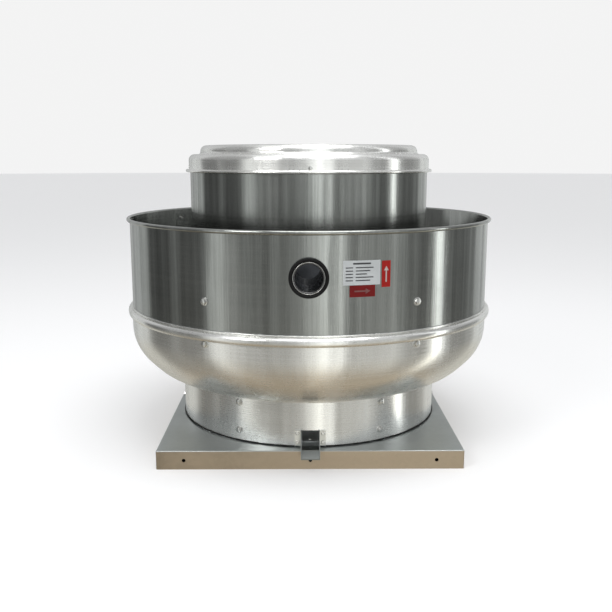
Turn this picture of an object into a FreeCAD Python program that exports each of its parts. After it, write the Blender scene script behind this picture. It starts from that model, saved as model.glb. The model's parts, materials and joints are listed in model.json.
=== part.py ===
"""An up-blast exhaust fan for a kitchen hood, standing on its square curb cap.

Millimetres, +Z up, origin at the middle of the curb cap's bottom edge. The front, with the grease spout and
the conduit opening, faces -Y. Every size comes from the Dims sheet, and each piece is a solid of its own.
"""

import FreeCAD
import Part
import math
import os
import Sketcher

DIMENSIONS = (
    # Curb cap: a square tray turned upside down over the roof curb.
    ("curb_side", 495, "outside width of the square curb cap"),
    ("skirt_height", 31, "height of its turned-down edge"),
    ("curb_sheet", 1.3, "thickness of its galvanised sheet"),
    ("curb_bend", 1.8, "outside radius of its bends"),
    ("curb_hole_radius", 192, "air hole in the curb cap"),
    ("skirt_hole_radius", 3, "curb screw hole"),
    ("skirt_hole_offset", 203, "from the middle of a side to its outer screw holes"),
    ("skirt_hole_height", 15, "screw holes above the bottom edge"),
    # Spun and rolled aluminium.
    ("sheet", 1.2, "thickness of the spun and rolled aluminium"),
    ("wall_radius", 319.5, "outside of the windband"),
    ("windband_bottom", 210, "lower edge of the windband, inside the bowl"),
    ("rim_height", 386.4, "middle of the windband's rolled rim"),
    ("rim_radius", 3.3, "half thickness of the rolled rim"),
    ("bowl_radius", 320.8, "outside of the bowl's straight wall"),
    ("bowl_top", 236.3, "upper edge of the bowl's lip"),
    ("lip_depth", 2.6, "height of the lip's hem"),
    ("lip_proud", 1.3, "how far the hem stands out"),
    ("bead_height", 225.7, "middle of the bowl's stiffening bead"),
    ("bead_half", 7, "half height of the bead"),
    ("bead_proud", 6.6, "how far the bead stands out"),
    ("bowl_knee", 167.4, "where the bowl's side and slope meet, before rounding"),
    ("bowl_side_round", 76, "rounding between side and slope"),
    ("bowl_slope_run", 54, "how far the slope reaches in, and down"),
    ("bowl_floor_round", 84, "rounding between slope and floor"),
    ("bowl_floor_drop", 4.4, "fall of the floor towards the neck"),
    ("neck_radius", 232, "outside of the neck"),
    ("neck_round", 4, "rounding between floor and neck"),
    ("neck_top", 104.6, "upper edge of the neck, where the bowl is welded on"),
    ("neck_bottom", 33.6, "lower edge of the neck, above the sealant"),
    # Six supports, equally spaced.
    ("support_count", 6, "supports round the fan"),
    ("leg_side", 18, "side of a leg's square tube"),
    ("leg_wall", 1.6, "wall of that tube"),
    ("leg_radius", 230.5, "outer face of a leg, from the axis"),
    ("leg_top", 300, "upper end of a leg"),
    ("neck_bolt_low", 50, "lower neck bolts"),
    ("neck_bolt_high", 98, "upper neck bolts"),
    ("band_bolt_low", 214.4, "bolts below the bead"),
    ("band_bolt_high", 279.5, "bolts above the bead"),
    ("shell_bolt_low", 252, "bolts between shell and leg, lower row"),
    ("shell_bolt_high", 290, "bolts between shell and leg, upper row"),
    ("bracket_sheet", 2, "thickness of a windband bracket"),
    ("bracket_bottom", 206, "lower edge of a bracket"),
    ("bracket_top", 291, "upper edge of a bracket"),
    ("bracket_width", 24, "width of a bracket's flanges"),
    ("bolt_radius", 3, "shank of the machine bolts"),
    ("bolt_hole_radius", 3.2, "hole for a machine bolt"),
    ("bolt_flat_half", 4.6, "corner radius of a hexagon head"),
    ("bolt_head", 3.4, "height of a hexagon head"),
    ("washer_radius", 6.2, "radius of a washer face"),
    ("washer", 1, "thickness of a washer face"),
    ("rivet_radius", 1.6, "body of a blind rivet"),
    ("rivet_head_radius", 3.4, "head of a blind rivet"),
    ("rivet_head", 1.2, "height of a rivet head"),
    # Motor compartment.
    ("shell_radius", 211.8, "outside of the motor compartment's shell"),
    ("shell_bottom", 214, "lower edge of the shell"),
    ("shell_top", 484, "upper edge of the shell, inside the cap"),
    ("deck_height", 216, "underside of the motor deck"),
    ("deck_sheet", 2, "thickness of the motor deck"),
    ("deck_flange", 24, "height of the deck's turned-up edge"),
    ("deck_hole_radius", 26, "shaft opening in the deck"),
    ("cap_radius", 214, "outside of the cap's wall"),
    ("cap_bottom", 466.6, "lower edge of the cap"),
    ("cap_bead_radius", 219.4, "outside of the cap's rolled edge"),
    ("cap_bead", 5.2, "height of the cap's rolled edge"),
    ("cap_ledge", 497.5, "height of the cap's ledge"),
    ("cap_tier_radius", 193.2, "outside of the cap's upper tier"),
    ("cap_top", 512.6, "top of the cap"),
    ("cap_round", 10.4, "rounding of the cap's shoulders"),
    ("cap_cove", 4.4, "rounding inside the ledge"),
    ("cap_screw_height", 475.6, "cap screws"),
    # Conduit tube and grommet.
    ("tube_height", 321.7, "middle of the conduit tube"),
    ("tube_side", -3.6, "middle of the conduit tube, to the right of the fan's middle"),
    ("tube_radius", 24.15, "outside of the conduit tube"),
    ("tube_bore", 20.65, "inside of the conduit tube"),
    ("tube_bell", 21.4, "inside of the tube's widened inner end"),
    ("tube_bell_end", 240, "where that widening stops, from the axis"),
    ("tube_inner_end", 190, "inner end of the tube, from the axis"),
    ("tube_outer_end", 324.6, "outer end of the tube, from the axis"),
    ("tube_hole_radius", 26.6, "tube hole in the windband"),
    ("grommet_radius", 29.6, "outside of the rubber grommet"),
    ("grommet_face", 326, "outer face of the grommet, from the axis"),
    # Grease spout.
    ("outlet_half", 14, "half width of the grease outlet"),
    ("outlet_top", 59.6, "upper edge of the outlet"),
    ("spout_sheet", 1.4, "thickness of the spout"),
    ("spout_reach", 260.5, "end of the spout's lip, from the axis"),
    ("spout_lip_height", 20.4, "underside of the spout's lip"),
    ("spout_bend", 249.2, "where the spout turns down, from the axis"),
    ("spout_flange_half", 25, "half width over the spout's flanges"),
    # Inlet and wheel.
    ("venturi_sheet", 1.5, "thickness of the inlet venturi"),
    ("venturi_flange_radius", 209, "outside of the venturi's flange"),
    ("throat_radius", 123, "inside of the venturi's throat"),
    ("throat_round", 66, "inside rounding of the venturi"),
    ("throat_top", 112, "upper edge of the venturi"),
    ("wheel_radius", 178, "outside of the fan wheel"),
    ("wheel_sheet", 2, "thickness of the wheel's plates"),
    ("wheel_eye_radius", 130, "outside of the wheel's inlet ring"),
    ("wheel_bottom", 104, "lower edge of the wheel's inlet ring"),
    ("wheel_shroud_height", 134, "underside of the wheel's shroud at its rim"),
    ("backplate_height", 196, "underside of the wheel's back plate"),
    ("blade_count", 9, "blades of the wheel"),
    ("blade_inner_radius", 104, "inner edge of a blade"),
    ("hub_radius", 20, "outside of the wheel's hub"),
    ("hub_flange_radius", 42, "outside of the hub's flange"),
    ("hub_bottom", 152, "lower end of the hub"),
    ("shaft_radius", 7.94, "motor shaft"),
    # Motor.
    ("motor_radius", 70, "outside of the motor's can"),
    ("motor_bottom", 246, "lower face of the motor"),
    ("can_bottom", 262, "lower edge of the can"),
    ("can_top", 372, "upper edge of the can"),
    ("motor_top", 392, "upper face of the motor"),
    ("bearing_radius", 20, "outside of a ball bearing"),
    ("bearing_width", 12, "width of a ball bearing"),
    ("ball_circle", 13.9, "radius of the balls' circle"),
    ("ball_radius", 3.3, "radius of a ball"),
    ("ball_count", 8, "balls of a bearing"),
    ("mount_plate_height", 236, "underside of the motor mount plate"),
    ("isolator_circle", 86, "isolators from the axis"),
    ("stud_circle", 58, "motor bolts from the axis"),
    # Disconnect switch.
    ("box_inner", 146, "inner side of the switch box, from the axis"),
    ("box_outer", 200, "outer side of the switch box"),
    ("box_half", 51, "half length of the switch box"),
    ("box_bottom", 400, "bottom of the switch box"),
    ("box_top", 444, "top of the switch box"),
    ("box_sheet", 1.6, "thickness of the box"),
)

doc = FreeCAD.newDocument("UpblastExhaustFan")
sheet = doc.addObject("Spreadsheet::Sheet", "Dims")
for row, (alias, size, meaning) in enumerate(DIMENSIONS, start=1):
    sheet.set(f"A{row}", meaning)
    sheet.set(f"B{row}", str(size))
    sheet.setAlias(f"B{row}", alias)
doc.recompute()

TINY = 1e-6
subparts = []


# ---------------------------------------------------------------- drawing tools


def dim(text):
    """An expression over the sheet, such as 'curb_side / 2', with each alias written out for FreeCAD."""
    words = {alias for alias, _, _ in DIMENSIONS}
    out, word = "", ""
    for letter in str(text) + " ":
        if letter.isalnum() or letter == "_":
            word += letter
            continue
        out += ("Dims." + word if word in words else word) + letter
        word = ""
    return out.strip()


def value(text):
    """The number that an expression over the sheet has now."""
    found = sheet.evalExpression(dim(text).replace("Dims.", ""))
    return float(getattr(found, "Value", found))


def new_body(label, many=False):
    """A body that is one sub-part. many is for a group of identical pieces."""
    body = doc.addObject("PartDesign::Body", label)
    body.Label = label
    body.AllowCompound = many
    subparts.append(body)
    return body


def origin_part(body, role):
    return next(f for f in body.Origin.OriginFeatures if f.Role == role)


def new_sketch(body, plane="XZ_Plane", offset=None):
    """A sketch on one of the body's own planes, moved along its normal by an expression."""
    sketch = body.newObject("Sketcher::SketchObject", f"{body.Name}_sketch")
    sketch.AttachmentSupport = (origin_part(body, plane), [""])
    sketch.MapMode = "FlatFace"
    if offset is not None:
        sketch.setExpression(".AttachmentOffset.Base.z", dim(offset))
    return sketch


def fix_point(sketch, edge, end, x, y):
    """Pins a point of the sketch to two expressions, measured from the sketch's origin."""
    for kind, text in (("DistanceX", x), ("DistanceY", y)):
        index = sketch.addConstraint(Sketcher.Constraint(kind, -1, 1, edge, end, value(text)))
        sketch.setExpression(f"Constraints[{index}]", dim(text))


def outline(sketch, corners):
    """Draws a closed outline. A corner is (x, y), or (x, y, rounding) where the corner is rounded."""
    points = [FreeCAD.Vector(value(c[0]), value(c[1]), 0) for c in corners]
    rounds = [c[2] if len(c) > 2 else None for c in corners]
    count = len(corners)
    starts, ends = list(points), list(points)
    arcs = {}
    for i, rounding in enumerate(rounds):
        if rounding is None:
            continue
        before = (points[i - 1] - points[i]).normalize()
        after = (points[(i + 1) % count] - points[i]).normalize()
        half = before.getAngle(after) / 2
        radius = value(rounding)
        reach = radius / math.tan(half)
        ends[i] = points[i] + before * reach
        starts[i] = points[i] + after * reach
        centre = points[i] + (before + after).normalize() * (radius / math.sin(half))
        arcs[i] = (centre, radius)
    # ends[i] is where the line that arrives at corner i stops; starts[i] is where the next one begins.
    lines = []
    for i in range(count):
        segment = Part.LineSegment(starts[i], ends[(i + 1) % count])
        lines.append(sketch.addGeometry(segment, False))
    for i in range(count):
        arriving, leaving = lines[i - 1], lines[i]
        x, y = corners[i][0], corners[i][1]
        if rounds[i] is None:
            sketch.addConstraint(Sketcher.Constraint("Coincident", arriving, 2, leaving, 1))
            fix_point(sketch, leaving, 1, x, y)
            continue
        centre, radius = arcs[i]
        first = math.atan2(ends[i].y - centre.y, ends[i].x - centre.x)
        last = math.atan2(starts[i].y - centre.y, starts[i].x - centre.x)
        turn = (points[i] - ends[i]).cross(starts[i] - points[i]).z
        left = turn > 0
        span = (first, last) if left else (last, first)
        circle = Part.Circle(centre, FreeCAD.Vector(0, 0, 1), radius)
        arc = sketch.addGeometry(Part.ArcOfCircle(circle, *span), False)
        corner = sketch.addGeometry(Part.Point(points[i]), True)
        fix_point(sketch, corner, 1, x, y)
        sketch.addConstraint(Sketcher.Constraint("PointOnObject", corner, 1, arriving))
        sketch.addConstraint(Sketcher.Constraint("PointOnObject", corner, 1, leaving))
        near, far = (1, 2) if left else (2, 1)
        sketch.addConstraint(Sketcher.Constraint("Tangent", arriving, 2, arc, near))
        sketch.addConstraint(Sketcher.Constraint("Tangent", leaving, 1, arc, far))
        index = sketch.addConstraint(Sketcher.Constraint("Radius", arc, radius))
        sketch.setExpression(f"Constraints[{index}]", dim(rounds[i]))
    return sketch


def circles(sketch, places):
    """Draws circles, each (x, y, radius)."""
    for x, y, radius in places:
        middle = FreeCAD.Vector(value(x), value(y), 0)
        edge = sketch.addGeometry(Part.Circle(middle, FreeCAD.Vector(0, 0, 1), value(radius)), False)
        fix_point(sketch, edge, 3, x, y)
        index = sketch.addConstraint(Sketcher.Constraint("Radius", edge, value(radius)))
        sketch.setExpression(f"Constraints[{index}]", dim(radius))
    return sketch


def rectangle(x0, y0, x1, y1):
    return [(x0, y0), (x1, y0), (x1, y1), (x0, y1)]


def feature(body, kind, sketch, **settings):
    """A feature of the body from a sketch. A text setting is bound to the sheet, any other is just set."""
    made = body.newObject("PartDesign::" + kind, f"{body.Name}_{kind.lower()}")
    if sketch is not None:
        made.Profile = sketch
        sketch.Visibility = False
    for name, setting in settings.items():
        if isinstance(setting, str):
            made.setExpression(name, dim(setting))
        else:
            setattr(made, name, setting)
    return made


def revolve(body, corners, kind="Revolution", **settings):
    """Turns an outline, drawn as radius and height, round the upright axis."""
    sketch = outline(new_sketch(body), corners)
    return feature(body, kind, sketch, ReferenceAxis=(sketch, ["V_Axis"]), **settings)


def pad(body, sketch, length, **settings):
    return feature(body, "Pad", sketch, Length=length, **settings)


def cut(body, sketch, length=None, **settings):
    """Cuts a sketch's shape out of the body, and stops the script if nothing was cut."""
    doc.recompute()
    before = body.Shape.Volume
    if length is None:
        made = feature(body, "Pocket", sketch, Type=1, **settings)
    else:
        made = feature(body, "Pocket", sketch, Length=length, **settings)
    doc.recompute()
    if body.Shape.Volume > before - TINY:
        raise ValueError(f"{made.Name} cuts nothing")
    return made


def around(body, features, count, angle=None):
    """Repeats features round the upright axis."""
    pattern = body.newObject("PartDesign::PolarPattern", f"{body.Name}_ring")
    pattern.Originals = features
    pattern.Axis = (origin_part(body, "Z_Axis"), [""])
    if angle is None:
        pattern.Angle = 360
    else:
        pattern.setExpression("Angle", dim(angle))
    pattern.setExpression("Occurrences", dim(count))
    body.Tip = pattern
    return pattern


def solid(body, kind, place, plane="YZ_Plane", turn=0.0, **sizes):
    """A PartDesign primitive on one of the body's planes. place is x, y and distance along the normal."""
    made = body.newObject("PartDesign::" + kind, f"{body.Name}_{kind.lower()}")
    made.AttachmentSupport = (origin_part(body, plane), [""])
    made.MapMode = "FlatFace"
    for axis, text in zip("xyz", place):
        made.setExpression(f".AttachmentOffset.Base.{axis}", dim(text))
    made.AttachmentOffset = FreeCAD.Placement(
        made.AttachmentOffset.Base, FreeCAD.Rotation(FreeCAD.Vector(0, 0, 1), turn)
    )
    for name, size in sizes.items():
        if isinstance(size, str):
            made.setExpression(name, dim(size))
        else:
            setattr(made, name, size)
    return made


def peg(body, places, radius, start, length, plane="YZ_Plane", **settings):
    """Round pegs at places on a plane, from start to start + length along its normal."""
    sketch = circles(new_sketch(body, plane, start), [(x, y, radius) for x, y in places])
    return pad(body, sketch, length, **settings)


def hexagon(x, y, radius):
    return [(f"{x} + {radius} * cos({60 * k} deg)", f"{y} + {radius} * sin({60 * k} deg)") for k in range(6)]


def hex_peg(body, places, radius, start, length, plane="YZ_Plane"):
    sketch = new_sketch(body, plane, start)
    for x, y in places:
        outline(sketch, hexagon(x, y, radius))
    return pad(body, sketch, length)


def bolt(body, places, seat, grip, plane="YZ_Plane", size=1.0):
    """Hexagon bolts whose washer faces lie on seat; their shanks run grip the other way."""
    washer = peg(body, places, f"washer_radius * {size}", seat, f"washer * {size}", plane)
    head = hex_peg(body, places, f"bolt_flat_half * {size}", f"{seat} + washer * {size} / 4",
                   f"(bolt_head + washer * 3 / 4) * {size}", plane)
    shank = peg(body, places, f"bolt_radius * {size}", f"{seat} - ({grip})",
                f"{grip} + washer * {size} / 2", plane)
    return [washer, head, shank]


def rivet_head(body, places, seat, plane):
    return peg(body, places, "rivet_head_radius", seat, "rivet_head", plane, TaperAngle=-45)


def flush_rivet(body, places, seat, grip, plane):
    """Rivets whose far ends are flush with the last sheet."""
    stem = peg(body, places, "rivet_radius", f"{seat} - ({grip})", f"{grip} + rivet_head / 2", plane)
    return [rivet_head(body, places, seat, plane), stem]


def rivet(body, places, seat, grip, plane="YZ_Plane"):
    """Blind rivets: a domed head on seat, a body through the grip and a set end behind it."""
    head = rivet_head(body, places, seat, plane)
    stem = peg(body, places, "rivet_radius", f"{seat} - ({grip}) - 1", f"{grip} + 1 + rivet_head / 2", plane)
    tail = peg(body, places, "rivet_radius * 1.5", f"{seat} - ({grip}) - 2.2", "2.2", plane)
    return [head, stem, tail]


def turn_body(body, degrees):
    body.Placement = FreeCAD.Placement(
        FreeCAD.Vector(0, 0, 0), FreeCAD.Rotation(FreeCAD.Vector(0, 0, 1), degrees)
    )


# ---------------------------------------------------------------- curb cap and inlet


def curb_cap():
    """The square galvanised tray that drops over the roof curb."""
    body = new_body("curb_cap")
    half = "curb_side / 2"
    corners = [(x, y, "curb_bend") for x, y in rectangle(f"-{half}", f"-{half}", half, half)]
    tray = pad(body, outline(new_sketch(body, "XY_Plane"), corners), "skirt_height")
    doc.recompute()
    rim = [
        f"Edge{i}"
        for i, edge in enumerate(body.Shape.Edges, start=1)
        if edge.BoundBox.ZMin > value("skirt_height") - TINY
    ]
    bend = body.newObject("PartDesign::Fillet", "curb_cap_bend")
    bend.Base = (tray, rim)
    bend.setExpression("Radius", dim("curb_bend"))
    inside = "curb_side / 2 - curb_sheet"
    room = [(x, y, "curb_bend / 2") for x, y in rectangle(f"-({inside})", f"-({inside})", inside, inside)]
    cut(body, outline(new_sketch(body, "XY_Plane"), room), "skirt_height - curb_sheet", Reversed=True)
    cut(body, circles(new_sketch(body, "XY_Plane"), [("0", "0", "curb_hole_radius")]), Midplane=True)
    for plane in ("XZ_Plane", "YZ_Plane"):
        holes = [
            (place, "skirt_hole_height", "skirt_hole_radius")
            for place in ("-skirt_hole_offset", "0", "skirt_hole_offset")
        ]
        cut(body, circles(new_sketch(body, plane), holes), Midplane=True)


def inlet_venturi():
    """The spun bell that leads the air into the wheel's eye."""
    base = "skirt_height"
    back = "throat_radius + venturi_sheet"
    revolve(new_body("inlet_venturi"), [
        ("venturi_flange_radius", base),
        ("venturi_flange_radius", f"{base} + venturi_sheet"),
        (back, f"{base} + venturi_sheet", "throat_round - venturi_sheet"),
        (back, "throat_top"),
        ("throat_radius", "throat_top"),
        ("throat_radius", base, "throat_round"),
    ])
    rivets = new_body("venturi_rivets", many=True)
    one = flush_rivet(rivets, [("200.5", "0")], "skirt_height + venturi_sheet", "venturi_sheet + curb_sheet",
                      "XY_Plane")
    around(rivets, one, "12")


# ---------------------------------------------------------------- bowl, windband and cap


def bowl_shell():
    """The spun bowl, down to its collar, with the bead that stiffens its upper edge."""
    body = new_body("bowl_shell")
    side, low, high = "bowl_radius", "bead_height - bead_half", "bead_height + bead_half"
    toe = "bowl_knee - bowl_slope_run"
    revolve(body, [
        ("0", "bowl_top"),
        (f"{side} + lip_proud", "bowl_top", "0.8"),
        (f"{side} + lip_proud", "bowl_top - lip_depth", "0.8"),
        (side, "bowl_top - lip_depth"),
        (side, high),
        (f"{side} + bead_proud", high, "bead_proud - 0.4"),
        (f"{side} + bead_proud", low, "bead_proud - 0.4"),
        (side, low),
        (side, "bowl_knee", "bowl_side_round"),
        (f"{side} - bowl_slope_run", toe, "bowl_floor_round"),
        ("neck_radius", f"{toe} - bowl_floor_drop", "neck_round"),
        ("neck_radius", "neck_top"),
        ("0", "neck_top"),
    ])
    inner, thick = "bowl_radius - sheet", "sheet * (1 / sqrt(2))"
    slope = "sheet * (sqrt(2) - 1)"
    revolve(body, [
        ("0", "bowl_top + 1"),
        (inner, "bowl_top + 1"),
        (inner, "bead_height + bead_half - 1.4"),
        (f"{side} + bead_proud - sheet", "bead_height + bead_half - 1.4", "bead_proud - 1.6"),
        (f"{side} + bead_proud - sheet", "bead_height - bead_half + 1.4", "bead_proud - 1.6"),
        (inner, "bead_height - bead_half + 1.4"),
        (inner, f"bowl_knee + {slope}", "bowl_side_round - sheet"),
        (f"{side} - bowl_slope_run - {thick} * 0.4", f"{toe} + sheet", "bowl_floor_round - sheet"),
        ("neck_radius - sheet", f"{toe} - bowl_floor_drop + sheet", "neck_round + sheet"),
        ("neck_radius - sheet", "neck_top - 1"),
        ("0", "neck_top - 1"),
    ], kind="Groove")
    hole = circles(new_sketch(body, "YZ_Plane"), [("0", "band_bolt_low", "bolt_hole_radius")])
    around(body, [cut(body, hole, Reversed=True)], "support_count")


def bowl_neck():
    """The rolled neck between the curb cap and the bowl, notched at the front for the grease outlet."""
    body = new_body("bowl_neck")
    revolve(body, rectangle("neck_radius - sheet", "neck_bottom", "neck_radius", "neck_top"))
    outlet = rectangle("-outlet_half", "neck_bottom - 1", "outlet_half", "outlet_top")
    cut(body, outline(new_sketch(body), outlet), "neck_radius + 5", Reversed=True)
    places = [("0", h, "bolt_hole_radius") for h in ("neck_bolt_low", "neck_bolt_high")]
    holes = cut(body, circles(new_sketch(body, "YZ_Plane"), places), Reversed=True)
    around(body, [holes], "support_count")


def base_sealant():
    """The black bead between the neck and the curb cap, left open at the spout."""
    body = new_body("base_sealant")
    revolve(body, [
        ("neck_radius - 1", "skirt_height"),
        ("neck_radius + 1", "skirt_height"),
        ("neck_radius + 1", "neck_bottom", "0.9"),
        ("neck_radius - 1", "neck_bottom"),
    ])
    side = "spout_flange_half + 1.4"
    gap = rectangle(f"-({side})", "skirt_height - 1", side, "neck_bottom + 1")
    cut(body, outline(new_sketch(body), gap), "neck_radius + 5", Reversed=True)


def windband():
    """The straight band round the discharge, with its rim rolled outwards over a wire."""
    body = new_body("windband")
    inside, mid = "wall_radius - sheet", "wall_radius - sheet + rim_radius"
    revolve(body, [
        (inside, "windband_bottom"),
        ("wall_radius", "windband_bottom"),
        ("wall_radius", "rim_height - rim_radius"),
        (f"{mid} + rim_radius", "rim_height - rim_radius", "rim_radius - 0.1"),
        (f"{mid} + rim_radius", "rim_height + rim_radius", "rim_radius - 0.1"),
        (inside, "rim_height + rim_radius", "rim_radius - 0.1"),
    ])
    tube = [("tube_side", "tube_height", "tube_hole_radius")]
    cut(body, circles(new_sketch(body), tube), "wall_radius + 5", Reversed=True)
    bolts = [("0", h, "bolt_hole_radius") for h in ("band_bolt_low", "band_bolt_high")]
    holes = cut(body, circles(new_sketch(body, "YZ_Plane"), bolts), Reversed=True)
    around(body, [holes], "support_count")


def windband_seam():
    """The strap inside the windband that joins the two ends of the rolled sheet, and its rivets."""
    seam_at = 145
    strap = new_body("windband_splice_strap")
    radius = "wall_radius - sheet"
    section = rectangle(f"{radius} - sheet", "bowl_top + 4", radius, "rim_height - 6")
    face = outline(new_sketch(strap), section)
    feature(strap, "Revolution", face, ReferenceAxis=(face, ["V_Axis"]), Angle=5.4, Midplane=True)
    turn_body(strap, seam_at)
    rivets = new_body("seam_rivets", many=True)
    places = [("0", f"bowl_top + 14 + {step} * 30") for step in range(5)]
    rivet(rivets, places, "wall_radius", "sheet * 2 + 0.1")
    turn_body(rivets, seam_at)


def top_cap():
    """The spun cover over the motor compartment: a skirt, a ledge and an upper tier."""
    body = new_body("top_cap")
    revolve(body, [
        ("0", "cap_top + 1"),
        ("cap_tier_radius", "cap_top", "cap_round"),
        ("cap_tier_radius", "cap_ledge", "cap_cove"),
        ("cap_radius", "cap_ledge", "cap_round"),
        ("cap_radius", "cap_bottom + cap_bead", "0.4"),
        ("cap_bead_radius", "cap_bottom + cap_bead", "cap_bead / 2 - 0.1"),
        ("cap_bead_radius", "cap_bottom", "cap_bead / 2 - 0.1"),
        ("cap_radius - sheet", "cap_bottom"),
        ("cap_radius - sheet", "cap_ledge - sheet", "cap_round - sheet"),
        ("cap_tier_radius - sheet", "cap_ledge - sheet", "cap_cove + sheet"),
        ("cap_tier_radius - sheet", "cap_top - sheet", "cap_round - sheet"),
        ("0", "cap_top + 1 - sheet"),
    ])
    hole = circles(new_sketch(body, "YZ_Plane"), [("0", "cap_screw_height", "2.1")])
    around(body, [cut(body, hole, Reversed=True)], "4")
    screws = new_body("cap_screws", many=True)
    around(screws, bolt(screws, [("0", "cap_screw_height")], "cap_radius", "9", size=0.54), "4")
    nuts = new_body("cap_clip_nuts", many=True)
    plate = new_sketch(nuts, "YZ_Plane", "shell_radius - sheet - 3.4")
    outline(plate, rectangle("-6", "cap_screw_height - 5", "6", "cap_screw_height + 5"))
    circles(plate, [("0", "cap_screw_height", "bolt_radius * 0.54 + 0.02")])
    around(nuts, [pad(nuts, plate, "2.6")], "4")


# ---------------------------------------------------------------- supports


def supports():
    """Six legs from the neck to the motor compartment, and the brackets that carry the windband."""
    legs = new_body("support_legs", many=True)
    inner = "leg_radius - leg_side"
    tube = rectangle(inner, "-leg_side / 2", "leg_radius", "leg_side / 2")
    hollow = rectangle(f"{inner} + leg_wall", "-leg_side / 2 + leg_wall",
                       "leg_radius - leg_wall", "leg_side / 2 - leg_wall")
    section = outline(new_sketch(legs, "XY_Plane", "skirt_height"), [(x, y, "2.2") for x, y in tube])
    outline(section, [(x, y, "0.8") for x, y in hollow])
    leg = pad(legs, section, "leg_top - skirt_height")
    outer = [("0", h, "bolt_hole_radius") for h in ("neck_bolt_low", "neck_bolt_high")]
    outer += [("0", h, "2.2") for h in ("bracket_bottom + 12", "bracket_top - 12")]
    skin = cut(legs, circles(new_sketch(legs, "YZ_Plane", "leg_radius - leg_side / 2"), outer),
               "leg_side", Reversed=True)
    shell = [("0", h, "2.2") for h in ("shell_bolt_low", "shell_bolt_high")]
    back = cut(legs, circles(new_sketch(legs, "YZ_Plane", "leg_radius - leg_side / 2"), shell), "leg_side")
    around(legs, [leg, skin, back], "support_count")

    brackets = new_body("windband_brackets", many=True)
    wall = "sqrt((wall_radius - sheet)^2 - (bracket_width / 2)^2) - 0.05"
    near = "leg_radius + 0.1"
    half, thick = "bracket_width / 2", "bracket_sheet"
    web = outline(new_sketch(brackets, "XY_Plane", "bracket_bottom"), [
        (near, f"-({half})"), (f"{near} + {thick}", f"-({half})"),
        (f"{near} + {thick}", f"-{thick} / 2", "1.4"), (f"{wall} - {thick}", f"-{thick} / 2", "1.4"),
        (f"{wall} - {thick}", f"-({half})"), (wall, f"-({half})"), (wall, half),
        (f"{wall} - {thick}", half), (f"{wall} - {thick}", f"{thick} / 2", "1.4"),
        (f"{near} + {thick}", f"{thick} / 2", "1.4"), (f"{near} + {thick}", half), (near, half),
    ])
    plate = pad(brackets, web, "bracket_top - bracket_bottom")
    scoop = cut(brackets, outline(new_sketch(brackets), [
        ("leg_radius + 14", "bracket_bottom - 1"), ("wall_radius - 16", "bracket_bottom - 1"),
        ("wall_radius - 16", "bracket_bottom + 22", "12"), ("leg_radius + 14", "bracket_bottom + 22", "12"),
    ]), "bracket_sheet + 2", Midplane=True)
    ends = [("0", h, "bolt_hole_radius") for h in ("band_bolt_low", "band_bolt_high")]
    far = cut(brackets, circles(new_sketch(brackets, "YZ_Plane", "wall_radius - 12"), ends), "12",
              Reversed=True)
    feet = [("0", h, "2.2") for h in ("bracket_bottom + 12", "bracket_top - 12")]
    close = cut(brackets, circles(new_sketch(brackets, "YZ_Plane", "leg_radius - 6"), feet), "14",
                Reversed=True)
    room = [("0", h, "5") for h in ("bracket_bottom + 12", "bracket_top - 12")]
    notch = cut(brackets, circles(new_sketch(brackets, "YZ_Plane", f"{near} + {thick}"), room), "6",
                Reversed=True)
    around(brackets, [plate, scoop, far, close, notch], "support_count")


def support_bolts():
    """Bolts through the neck, the windband, the brackets and the shell; every group repeats at each leg."""
    neck = new_body("neck_bolts", many=True)
    places = [("0", "neck_bolt_low"), ("0", "neck_bolt_high")]
    around(neck, bolt(neck, places, "neck_radius", "7"), "support_count")
    band = new_body("windband_bolts", many=True)
    made = bolt(band, [("0", "band_bolt_low")], "bowl_radius", "9")
    made += bolt(band, [("0", "band_bolt_high")], "wall_radius", "8")
    around(band, made, "support_count")
    joint = new_body("bracket_screws", many=True)
    places = [("0", "bracket_bottom + 12"), ("0", "bracket_top - 12")]
    made = bolt(joint, places, "leg_radius + 0.1 + bracket_sheet", "7", size=0.68)
    around(joint, made, "support_count")
    shell = new_body("shell_screws", many=True)
    places = [("0", "shell_bolt_low"), ("0", "shell_bolt_high")]
    made = [
        peg(shell, places, "4", "shell_radius - sheet - 3.4", "3.2"),
        peg(shell, places, "2", "shell_radius - sheet - 1", "10"),
    ]
    around(shell, made, "support_count")


# ---------------------------------------------------------------- motor compartment


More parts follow.
